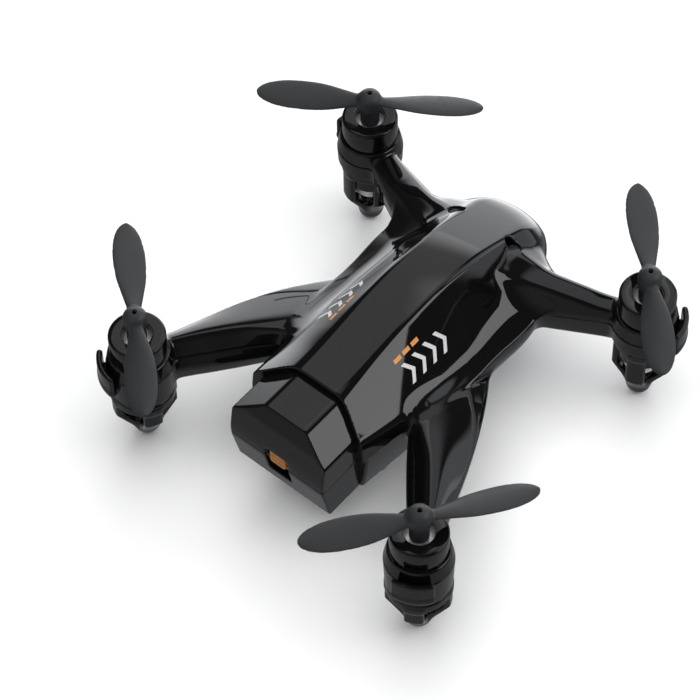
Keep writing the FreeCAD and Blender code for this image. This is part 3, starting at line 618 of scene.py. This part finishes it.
def guard_clip(a, y, z, end):
    """A hooked lip outside a collar, with an open slot behind it."""
    along, across = turned_to(a - MOTOR_X, y - end * MOTOR_Y, CLIP_LEAN[end])
    radius, angle = np.hypot(along, across), np.degrees(np.arctan2(np.abs(across), along))
    lip = blend_max(np.abs(radius - CLIP_RADIUS) - CLIP_HALF_THICK,
                    np.abs(z - CLIP_HEIGHT) - CLIP_HALF_TALL, 0.4)
    base = blend_max(radius - CLIP_RADIUS - CLIP_HALF_THICK,
                     np.abs(z - CLIP_HEIGHT + 2.0) - 0.75, 0.5)
    hook = blend_min(lip, base, 0.5)
    return blend_max(hook, (angle - CLIP_HALF_ANGLE) * CLIP_MM_PER_DEGREE, 0.5)


def lower_outer(x, y, z):
    a = np.abs(x)
    shape = belly(a, y, z)
    for arm in (FRONT_ARM, REAR_ARM):
        shape = blend_min(shape, lower_arm(arm, a, y, z), 0.5 * fillet_along(arm, a, y))
        radius = from_motor(a, y, arm.end)
        side = radius - LOWER_COLLAR_RADIUS + 0.035 * (SPLIT - z)
        collar = blend_max(side, arm.collar_low - z, 0.4)
        shape = blend_min(shape, collar, 0.9)
    return shape


SCREWS = [(8.9, -15.0), (8.9, 15.0)]
BOSS_RADIUS, SINK_RADIUS, HOLE_RADIUS = 1.85, 1.45, 0.75


def lower_shell(x, y, z):
    a = np.abs(x)
    outer = lower_outer(x, y, z)
    room = np.maximum(outer, upper_outer(x, y, np.maximum(z, SPLIT + 0.4)))
    shape = np.maximum(outer, -(room + WALL))
    shape = blend_max(shape, z - SPLIT + SEAM_HALF, 0.16)
    for end in (1, -1):
        shape = blend_min(shape, guard_clip(a, y, z, end), 0.3)
        shape = np.maximum(shape, COLLAR_BORE - from_motor(a, y, end))
    for screw_x, screw_y in SCREWS:
        radius = np.hypot(a - screw_x, y - screw_y)
        ends = np.maximum(BELLY_LOW - z, z - SPLIT + 0.2)
        shape = np.minimum(shape, np.maximum(radius - BOSS_RADIUS, ends))
        sink = np.maximum(radius - SINK_RADIUS, z - BELLY_LOW - 0.85)
        shape = blend_max(np.maximum(shape, HOLE_RADIUS - radius), -sink, 0.2)
    return shape


SHELL_STEP = 0.27
REACH = MOTOR_X + 7.6
upper = moulded("upper_shell_moulding", upper_shell, (-REACH, -REACH, SPLIT - 0.4),
                (REACH, REACH, ROOF_TOP + 0.6), SHELL_STEP, GLOSS)
lower = moulded("lower_shell_moulding", lower_shell, (-REACH, -REACH, BELLY_LOW - 0.6),
                (REACH, REACH, 21.4), SHELL_STEP, GLOSS)
for piece, node in ((upper, "upper_shell"), (lower, "lower_shell")):
    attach(piece, "airframe")
    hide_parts(node)

# ---------------------------------------------------------------- printed marks


def on_shell(y, a):
    """The height of the upper shell's surface over a place on the right-hand panel."""
    z = roof_height(y) - 4.0
    for _ in range(12):
        rise = (upper_outer(a, y, z + 0.02) - upper_outer(a, y, z - 0.02)) / 0.04
        z = z - upper_outer(a, y, z) / rise
    return z


def printed_bars(name, bars, material, side):
    """Flat bars of ink on a side panel. A bar is four (y, a) corners in order."""
    points, faces = [], []
    long, wide = 16, 4
    u, v = np.meshgrid(np.linspace(0, 1, long + 1), np.linspace(0, 1, wide + 1), indexing="ij")
    u, v = u.ravel()[:, None], v.ravel()[:, None]
    layer = len(u)

    def spot(i, j, low):
        return len(points) + low * layer + i * (wide + 1) + j

    rim = [(i, 0) for i in range(long)] + [(long, j) for j in range(wide)]
    rim += [(i, wide) for i in range(long, 0, -1)] + [(0, j) for j in range(wide, 0, -1)]
    for corners in bars:
        first, second, third, fourth = (np.array(corner, float) for corner in corners)
        place = (first * (1 - u) + second * u) * (1 - v) + (fourth * (1 - u) + third * u) * v
        y, a = place[:, 0], place[:, 1]
        z = on_shell(y, a)
        for i in range(long):
            for j in range(wide):
                cell = [(i, j), (i + 1, j), (i + 1, j + 1), (i, j + 1)]
                faces.append([spot(*corner, 0) for corner in cell])
                faces.append([spot(*corner, 1) for corner in reversed(cell)])
        for here, there in zip(rim, rim[1:] + rim[:1]):
            faces.append((spot(*there, 0), spot(*here, 0), spot(*here, 1), spot(*there, 1)))
        for lift in (INK, -INK):
            out, up = PANEL_OUT * lift, PANEL_UP * lift
            points += np.stack([side * (a + out), y, z + up], axis=1).tolist()
    piece = mesh_object(name, points, faces, None, material)
    sharpened(piece, 40)
    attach(piece, "airframe")


def chevron(y, a, size, stroke):
    """An arrowhead towards the nose, as two bars."""
    return [
        [(y, a - size), (y + size, a), (y + size + stroke, a), (y + stroke, a - size)],
        [(y + size, a), (y, a + size), (y + stroke, a + size), (y + size + stroke, a)],
    ]


INK = 0.03
PANEL_OUT, PANEL_UP = 0.78, 0.62
CHEVRON_PLACES = [-7.2 + 2.6 * step for step in range(4)]
CHEVRONS = [bar for y in CHEVRON_PLACES for bar in chevron(y, 8.7, 1.25, 0.8)]
DASHES = [[(y, 6.35), (y + 1.6, 6.35), (y + 1.6, 6.85), (y, 6.85)] for y in (-7.8, -5.7, -3.6)]
for side, word in ((1, "right"), (-1, "left")):
    printed_bars("panel_chevrons_" + word, CHEVRONS, WHITE_PRINT, side)
    printed_bars("panel_dashes_" + word, DASHES, ORANGE_PRINT, side)

# ---------------------------------------------------------------- rear module

MODULE_SPLIT = MODULE_LOW[2]
MODULE_TOP = MODULE_HIGH[2]
MODULE_REAR = MODULE_LOW[1]
MODULE_HALF = MODULE_HIGH[0]
MODULE_LIP = -17.2
SLOT_MIDDLE = 16.1
SLOT_HALF_WIDE, SLOT_HALF_TALL = 2.4, 3.3


def module_end(y, z):
    """The module seen from the side: a sloping brow, an upright face and an undercut."""
    fold = (MODULE_REAR + 0.9, 24.0)
    brow = beyond(y, z, fold, (MODULE_REAR + 2.7, MODULE_TOP))
    face = beyond(y, z, (MODULE_REAR, 19.0), fold)
    under = beyond(y, z, (MODULE_REAR + 1.8, TRAY_LOW[2]), (MODULE_REAR, MODULE_SPLIT))
    shape = blend_max(brow, face, 0.35)
    shape = blend_max(shape, MODULE_REAR - y, 0.5)
    return blend_max(shape, under, 0.4)


def module_outer(x, y, z):
    a = np.abs(x)
    facet, slope = 4.1, 23.4
    shape = blend_max(z - MODULE_TOP, beyond(a, z, (facet, MODULE_TOP), (MODULE_HALF, slope)), 0.3)
    shape = blend_max(shape, a - MODULE_HALF, 0.45)
    shape = blend_max(shape, module_end(y, z), 0.35)
    return blend_max(shape, TRAY_LOW[2] - z, 0.5)


def switch_slot(x, z):
    """The upright slot in the end face, with rounded corners."""
    wide = np.abs(x) - SLOT_HALF_WIDE
    tall = np.abs(z - SLOT_MIDDLE) - SLOT_HALF_TALL
    return blend_max(wide, tall, 0.8)


def module_shell(x, y, z):
    shape = hollowed(module_outer(x, y, z), WALL)
    return blend_max(shape, -np.maximum(switch_slot(x, z), y - MODULE_REAR - 3), 0.3)


def module_cover(x, y, z):
    shape = blend_max(module_shell(x, y, z), MODULE_SPLIT + 0.07 - z, 0.2)
    lip = np.maximum(y - MODULE_LIP, SPLIT + 0.3 - z)
    return np.maximum(shape, np.minimum(y - MODULE_HIGH[1], lip))


def module_tray(x, y, z):
    shape = blend_max(module_shell(x, y, z), z - MODULE_SPLIT + 0.07, 0.2)
    shape = np.maximum(shape, y - TRAY_HIGH[1])
    socket_low, socket_high = low_high("charge_socket")
    middle, half = (socket_low + socket_high) / 2, (socket_high - socket_low) / 2 + 0.2
    hole = np.maximum(np.abs(x - middle[0]) - half[0], np.abs(y - middle[1]) - half[1])
    return blend_max(shape, -np.maximum(hole, z - 12), 0.2)


MODULE_STEP = 0.2
for name, field, low, high in (
    ("rear_module_cover", module_cover, MODULE_LOW, MODULE_HIGH + np.array([0, 4, 0])),
    ("rear_module_tray", module_tray, TRAY_LOW, TRAY_HIGH),
):
    piece = moulded(name + "_moulding", field, low - 0.5, high + 0.5, MODULE_STEP, GLOSS)
    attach(piece, "airframe")
    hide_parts(name)


def knob(x, y, z):
    """The switch knob: a thumb pad with two grooves, on a neck."""
    middle, half = (KNOB_LOW + KNOB_HIGH) / 2, (KNOB_HIGH - KNOB_LOW) / 2
    depth = 1.1
    pad = blend_max(np.abs(x) - half[0], np.abs(z - middle[2]) - half[2], 0.7)
    pad = blend_max(pad, np.abs(y - KNOB_LOW[1] - depth / 2) - depth / 2, 0.35)
    groove = 0.16 - np.hypot((np.abs(z - middle[2]) - 0.55), y - KNOB_LOW[1])
    pad = blend_max(pad, groove, 0.15)
    neck = np.maximum(np.maximum(np.abs(x) - 0.7, np.abs(z - middle[2]) - 0.7),
                      np.maximum(KNOB_LOW[1] + 0.5 - y, y - KNOB_HIGH[1]))
    return np.minimum(pad, neck)


# The thumb pad's amber colour is the knob's painted warm reflection, not a lamp's light.
piece = moulded("power_switch_thumb_pad", knob, KNOB_LOW - 0.3, KNOB_HIGH + 0.3, 0.09, KNOB_WARM_REFLECTION)
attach(piece, "switch_knob")
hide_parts("power_switch_knob")

# ---------------------------------------------------------------- motor pods and caps


KNEE_HEIGHT = 7.6
SLEEVE_RADIUS = 3.88
BORE_RADIUS, BORE_LOW = 3.05, 7.8
SLEEVE_LOW, GROOVE_TOP = 10.6, 17.4


def pod(p, q, z, reach, ring_height):
    """The sleeve, the ring under the collar, and four columns drawn in to a rounded toe."""
    radius = np.hypot(p, q)
    near, aside = np.maximum(np.abs(p), np.abs(q)), np.minimum(np.abs(p), np.abs(q))
    outer = reach - 0.6 * np.maximum(KNEE_HEIGHT - z, 0)
    inner = reach - 1.25 - 0.75 * np.maximum(KNEE_HEIGHT - z, 0)
    columns = blend_max(radius - outer, aside - 1.6, 0.45)
    columns = blend_max(columns, inner - near, 0.4)
    columns = np.maximum(columns, np.maximum(z - ring_height, 1.6 - z))
    ring = blend_max(radius - reach, 3.9 - radius, 0.3)
    ring = blend_max(ring, np.abs(z - ring_height) - 1.05, 0.5)
    sleeve = blend_max(radius - SLEEVE_RADIUS, np.maximum(SLEEVE_LOW - z, z - POD_TOP), 0.3)
    toe = np.hypot(radius, np.maximum(np.abs(z - 3.2) - 1.0, 0) * 0.95) - 2.15
    toe = blend_max(toe, 0.02 - z, 0.25)
    shape = blend_min(blend_min(columns, ring, 0.6), toe, 1.2)
    shape = np.minimum(shape, sleeve)
    shape = np.where(z > BORE_LOW, np.maximum(shape, BORE_RADIUS - radius), shape)
    groove = np.maximum(np.abs(q) - 0.9, np.maximum(p + 2.9, -4.6 - p))
    return np.where((z > BORE_LOW) & (z < GROOVE_TOP), np.maximum(shape, -groove), shape)


def lathe(name, profile, material, sides=96):
    """A turned piece from a closed (radius, height) outline, in millimetres."""
    points, faces = [], []
    count = len(profile)
    for side in range(sides):
        c, s = math.cos(2 * math.pi * side / sides), math.sin(2 * math.pi * side / sides)
        points += [(radius * c, radius * s, height) for radius, height in profile]
    for side in range(sides):
        ahead = (side + 1) % sides
        for spot in range(count):
            after = (spot + 1) % count
            faces.append((side * count + spot, ahead * count + spot,
                          ahead * count + after, side * count + after))
    return mesh_object(name, points, faces, None, material)


def rounded_outline(corners, steps=5):
    """An outline of (radius, height, rounding) corners with arcs at the rounded ones."""
    outline = []
    count = len(corners)
    for index, (radius, height, rounding) in enumerate(corners):
        here = Vector((radius, height))
        if rounding <= 0:
            outline.append(tuple(here))
            continue
        back = (Vector(corners[index - 1][:2]) - here).normalized()
        ahead = (Vector(corners[(index + 1) % count][:2]) - here).normalized()
        start, end = here + back * rounding, here + ahead * rounding
        for step in range(steps + 1):
            t = step / steps
            outline.append(tuple(start * (1 - t) ** 2 + here * 2 * t * (1 - t) + end * t**2))
    return outline


POD_STEP = 0.2
# (front or rear end, the cage's reach from the motor's axis, the ring's height)
POD_KINDS = ((1, 4.8, 14.85), (-1, 5.35, 11.65))
pod_surfaces = {
    end: surface_of(lambda p, q, z: pod(p, q, z, reach, ring_height),
                    (-6, -6, -0.4), (6, 6, POD_TOP + 0.5), POD_STEP)
    for end, reach, ring_height in POD_KINDS
}
for corner in CORNERS:
    x, y = MOTOR[corner]
    end, side = (1 if y > 0 else -1), (1 if x > 0 else -1)
    lean = (FRONT_ARM if end > 0 else REAR_ARM).lean
    turn = lean if side > 0 else 180.0 - lean
    around = np.array(Matrix.Rotation(math.radians(turn), 3, "Z"))
    points, faces, normals = pod_surfaces[end]
    piece = mesh_object("motor_pod_moulding_" + corner, points @ around.T + np.array([x, y, 0]),
                        faces, normals @ around.T, GLOSS)
    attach(piece, "airframe")
    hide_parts("motor_pod_" + corner)

    top, low, rim = CAP_HIGH[2], CAP_LOW[2], CAP_RADIUS
    outline = rounded_outline([
        (3.96, low, 0.0), (rim - 0.05, low, 0.15), (rim, low + 1.1, 0.0), (rim, top, 0.5),
        (2.5, top, 0.15), (2.5, top - 1.0, 0.1), (3.96, top - 1.0, 0.2),
    ])
    cap = lathe("motor_cap_turning_" + corner, outline, GLOSS)
    cap.data.transform(Matrix.Translation(Vector((x * MM, y * MM, 0))))
    sharpened(cap, 40)
    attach(cap, "airframe")
    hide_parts("motor_cap_" + corner)

# ---------------------------------------------------------------- propellers

BLADE_REACH = 18.95
chord_at = curve_through([
    (0, 2.0), (2.0, 2.3), (4.2, 3.3), (8.0, 4.9), (11.5, 5.35), (15.0, 5.1), (19.0, 4.6),
])
pitch_at = curve_through([
    (0, 20.0), (4.2, 17.0), (8.0, 14.5), (11.8, 12.5), (15.2, 11.0), (19.0, 9.5),
])
thick_at = curve_through([
    (0, 1.3), (2.0, 1.2), (4.2, 1.0), (8.0, 0.85), (11.8, 0.75), (15.2, 0.65), (19.0, 0.5),
])
rise_at = curve_through([
    (0, 0.0), (4.2, 0.05), (8.0, 0.15), (11.8, 0.25), (15.2, 0.32), (19.0, 0.4),
])
BLADE_HEIGHT = 30.3
HUB_RADIUS, HUB_LOW, HUB_TOP = 1.95, 28.9, ROTOR_HIGH[2]
SKIRT_RADIUS, SKIRT_LOW, SKIRT_TOP = 1.6, ROTOR_LOW[2], 30.0


def rotor(x, y, z):
    """Two pitched leaves on a domed hub with a skirt. The edge on the +y side of +x is higher."""
    radius = np.abs(x)
    side = y * np.sign(x + 1e-9)
    tip = np.clip((radius - 0.66 * BLADE_REACH) / (0.34 * BLADE_REACH), 0, 1)
    half = np.maximum(chord_at(radius) / 2 * np.sqrt(np.maximum(1 - tip**2.6, 1e-4)), 0.05)
    pitch = np.radians(pitch_at(radius))
    up = z - BLADE_HEIGHT - rise_at(radius)
    along = side * np.cos(pitch) + up * np.sin(pitch)
    above = up * np.cos(pitch) - side * np.sin(pitch)
    camber = 0.12 * (1 - np.clip(along / half, -1, 1) ** 2)
    thick = thick_at(radius) / 2
    leaf = (np.sqrt((along / half) ** 2 + ((above - camber) / thick) ** 2) - 1) * thick
    leaf = blend_max(leaf, radius - BLADE_REACH, 0.15)
    reach = np.hypot(x, y)
    dome = np.hypot(reach, np.maximum(z - (HUB_TOP - 1.5), 0) * 1.28) - HUB_RADIUS
    hub = blend_max(dome, HUB_LOW - z, 0.5)
    skirt = blend_max(reach - SKIRT_RADIUS, np.maximum(SKIRT_LOW - z, z - SKIRT_TOP), 0.3)
    body = blend_min(blend_min(hub, skirt, 0.35), leaf, 0.7)
    dimple = np.maximum(reach - 0.42, HUB_TOP - 0.4 - z)
    return blend_max(body, -dimple, 0.12)


ROTOR_STEP = 0.17
rotor_surface = surface_of(rotor, (-19.4, -3.4, SKIRT_LOW - 0.4), (19.4, 3.4, HUB_TOP + 0.4),
                           ROTOR_STEP)
HEADINGS = {"front_left": 33.5, "front_right": 132.8, "rear_right": 54.2, "rear_left": 136.8}
SENSES = {"front_left": -1, "front_right": 1, "rear_right": -1, "rear_left": 1}
for corner in CORNERS:
    points, faces, normals = rotor_surface
    handed = np.array([1, SENSES[corner], 1])
    around = np.array(Matrix.Rotation(math.radians(HEADINGS[corner]), 3, "Z"))
    place = np.array([*MOTOR[corner], 0])
    ordered = faces if SENSES[corner] > 0 else faces[:, ::-1]
    piece = mesh_object("propeller_moulding_" + corner, points * handed @ around.T + place, ordered,
                        normals * handed @ around.T, SATIN)
    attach(piece, "rotor_" + corner)
    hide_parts("propeller_" + corner)

# ---------------------------------------------------------------- floor, light and camera


def area_light(name, place, aim, size, power, tint=(1, 1, 1)):
    light = bpy.data.lights.new(name, "AREA")
    light.shape = "RECTANGLE"
    light.size, light.size_y = size
    light.energy = power
    light.color = tint
    thing = bpy.data.objects.new(name, light)
    thing.location = place
    thing.rotation_euler = (Vector(aim) - Vector(place)).to_track_quat("-Z", "Y").to_euler()
    bpy.context.scene.collection.objects.link(thing)
    return thing


def floor():
    """A wide pale floor."""
    material, shader, add, place, tree = new_material("pale_floor")
    drift = noise(add, place, 0.01, 3.0)
    tree.links.new(colours(add, drift, (0.86, 0.86, 0.86), (0.90, 0.90, 0.90)),
                   shader.inputs["Base Color"])
    tree.links.new(ramp(add, drift, 0.3, 0.7, 0.75, 0.9), shader.inputs["Roughness"])
    half = 900.0
    points = [(-half, -half, 0), (half, -half, 0), (half, half, 0), (-half, half, 0)]
    thing = mesh_object("pale_floor", points, [(0, 1, 2, 3)], None, material)
    thing.location.z = -0.0002
    thing.visible_glossy = False


# The studio: a dim room with broad soft glows, each in the direction where it lies.
# (direction, full inside this cosine, gone outside this cosine, brightness)
ROOM = 0.05
GLOWS = [
    ((-0.50, 0.86, -0.05), 0.86, 0.76, 2.4),
    ((0.50, 0.85, 0.15), 0.95, 0.915, 0.8),
    ((-0.10, 0.53, 0.84), 0.985, 0.955, 0.75),
    ((0.30, 0.78, 0.55), 0.975, 0.96, 1.1),
    ((0.0, -0.95, 0.3), 0.9, 0.4, 0.22),
    ((0.0, 0.0, -1.0), 0.5, -0.1, 0.22),
]


def studio_world():
    """A world lit by soft glows instead of a flat colour."""
    world = bpy.data.worlds.new("studio")
    world.use_nodes = True
    tree = world.node_tree
    background = tree.nodes["Background"]
    facing = tree.nodes.new("ShaderNodeTexCoord").outputs["Generated"]
    total = None
    for direction, full, gone, brightness in GLOWS:
        dot = tree.nodes.new("ShaderNodeVectorMath")
        dot.operation = "DOT_PRODUCT"
        tree.links.new(facing, dot.inputs[0])
        dot.inputs[1].default_value = Vector(direction).normalized()
        glow = tree.nodes.new("ShaderNodeMapRange")
        glow.interpolation_type = "SMOOTHSTEP"
        for socket, value in (("From Min", gone), ("From Max", full), ("To Min", 0.0),
                              ("To Max", brightness)):
            glow.inputs[socket].default_value = value
        tree.links.new(dot.outputs["Value"], glow.inputs["Value"])
        add = tree.nodes.new("ShaderNodeMath")
        add.operation = "ADD"
        tree.links.new(glow.outputs["Result"], add.inputs[0])
        if total:
            tree.links.new(total, add.inputs[1])
        else:
            add.inputs[1].default_value = ROOM
        total = add.outputs["Value"]
    background.inputs["Color"].default_value = (0.95, 0.97, 1.0, 1)
    tree.links.new(total, background.inputs["Strength"])
    bpy.context.scene.world = world


studio_world()

floor()

area_light("floor_wash", (0, 0, 0.9), (0, 0, 0), (1.2, 1.2), 12.0).visible_glossy = False
area_light("right_window", (0.55, 0.30, 0.51), (0, 0.30, 0.51), (0.44, 0.53), 2.0)
ceiling = area_light("ceiling_box", (-0.56, 0.85, 1.0), (-0.56, 0.85, 0), (0.36, 1.7), 1.4)
ceiling.rotation_euler.rotate_axis("Z", math.radians(13.6))

AZIMUTH, ELEVATION, ROLL = 41.04, 54.76, -1.32
DISTANCE = 0.49832
TARGET = Vector((-0.00609, -0.00376, 0.015))
az, el, roll = (math.radians(v) for v in (AZIMUTH, ELEVATION, ROLL))
back = Vector((math.sin(az) * math.cos(el), -math.cos(az) * math.cos(el), math.sin(el)))
right = Vector((math.cos(az), math.sin(az), 0))
up = back.cross(right)
level_right = right * math.cos(roll) + up * math.sin(roll)
level_up = up * math.cos(roll) - right * math.sin(roll)
camera = bpy.data.objects.new("camera", bpy.data.cameras.new("camera"))
camera.data.lens = 157.31
camera.data.sensor_width = 36
camera.data.clip_start = 0.01
camera.location = TARGET + back * DISTANCE
camera.rotation_euler = Matrix((level_right, level_up, back)).transposed().to_euler()
bpy.context.scene.collection.objects.link(camera)
bpy.context.scene.camera = camera
bpy.context.scene.view_settings.view_transform = "Standard"
